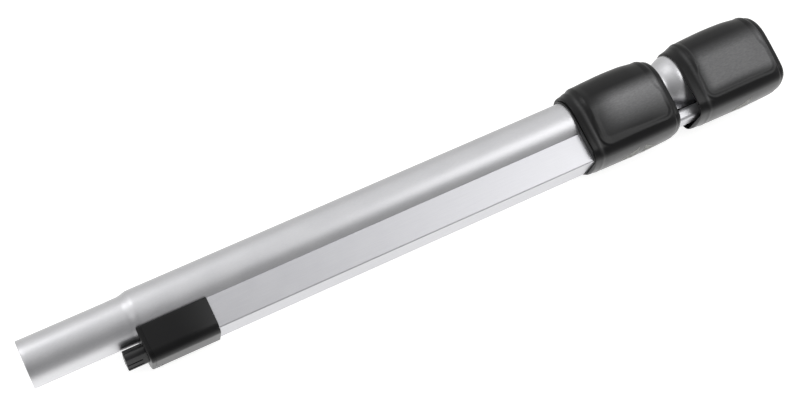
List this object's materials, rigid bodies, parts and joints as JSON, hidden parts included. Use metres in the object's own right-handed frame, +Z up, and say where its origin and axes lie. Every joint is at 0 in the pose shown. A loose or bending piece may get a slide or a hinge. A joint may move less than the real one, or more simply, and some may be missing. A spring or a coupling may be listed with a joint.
{
  "type": "telescopic vacuum wand",
  "caption": "Telescopic vacuum cleaner wand with a swaged spigot, a cord channel and plug, a sliding release grip and a handle socket",
  "frame": {"origin": "centre of the spigot's open end, on the tube's axis", "axes": "+X along the wand from the spigot to the handle socket, +Z up, the cord channel on the -Y side"},
  "size_m": [0.591, 0.0657, 0.0534],
  "materials": {
    "tube_aluminium": "satin anodised",
    "channel_aluminium": "satin extruded",
    "grip_black": "fine moulded grain",
    "plug_black": "smooth moulded",
    "liner_black": "smooth moulded",
    "bush_grey": "smooth moulded",
    "cord_rubber": "matte",
    "contact_brass": "turned",
    "spring_steel": "drawn",
    "seal_felt": "felt"
  },
  "bodies": {
    "outer": {"outer_tube": "tube_aluminium", "cord_channel": "channel_aluminium", "plug_housing": "grip_black", "plug_barrel": "plug_black", "plug_contacts": "contact_brass", "housing_screw": "spring_steel", "cord_anchor": "cord_rubber", "coil_cord": "cord_rubber", "guide_body": "grip_black", "tube_seal": "seal_felt", "clamp_collet": "bush_grey", "return_spring": "spring_steel"},
    "sleeve": {"release_sleeve": "grip_black"},
    "inner": {"inner_tube": "tube_aluminium", "guide_bush": "bush_grey", "cord_conduit": "channel_aluminium", "conduit_shoe": "bush_grey", "upper_grip": "grip_black", "socket_liner": "liner_black", "liner_seal": "cord_rubber", "inlet_block": "liner_black", "cord_clamp": "cord_rubber", "inlet_pins": "contact_brass", "inlet_leads": "cord_rubber"}
  },
  "joints": [
    {"name": "telescope_slide", "type": "slide", "parent": "outer", "child": "inner", "axis": [1, 0, 0], "range_m": [0, 0.35], "deforming": ["coil_cord"]},
    {"name": "sleeve_slide", "type": "slide", "parent": "outer", "child": "sleeve", "axis": [1, 0, 0], "range_m": [-0.006, 0.006], "stiffness_N_per_m": 700, "deforming": ["return_spring"]}
  ]
}
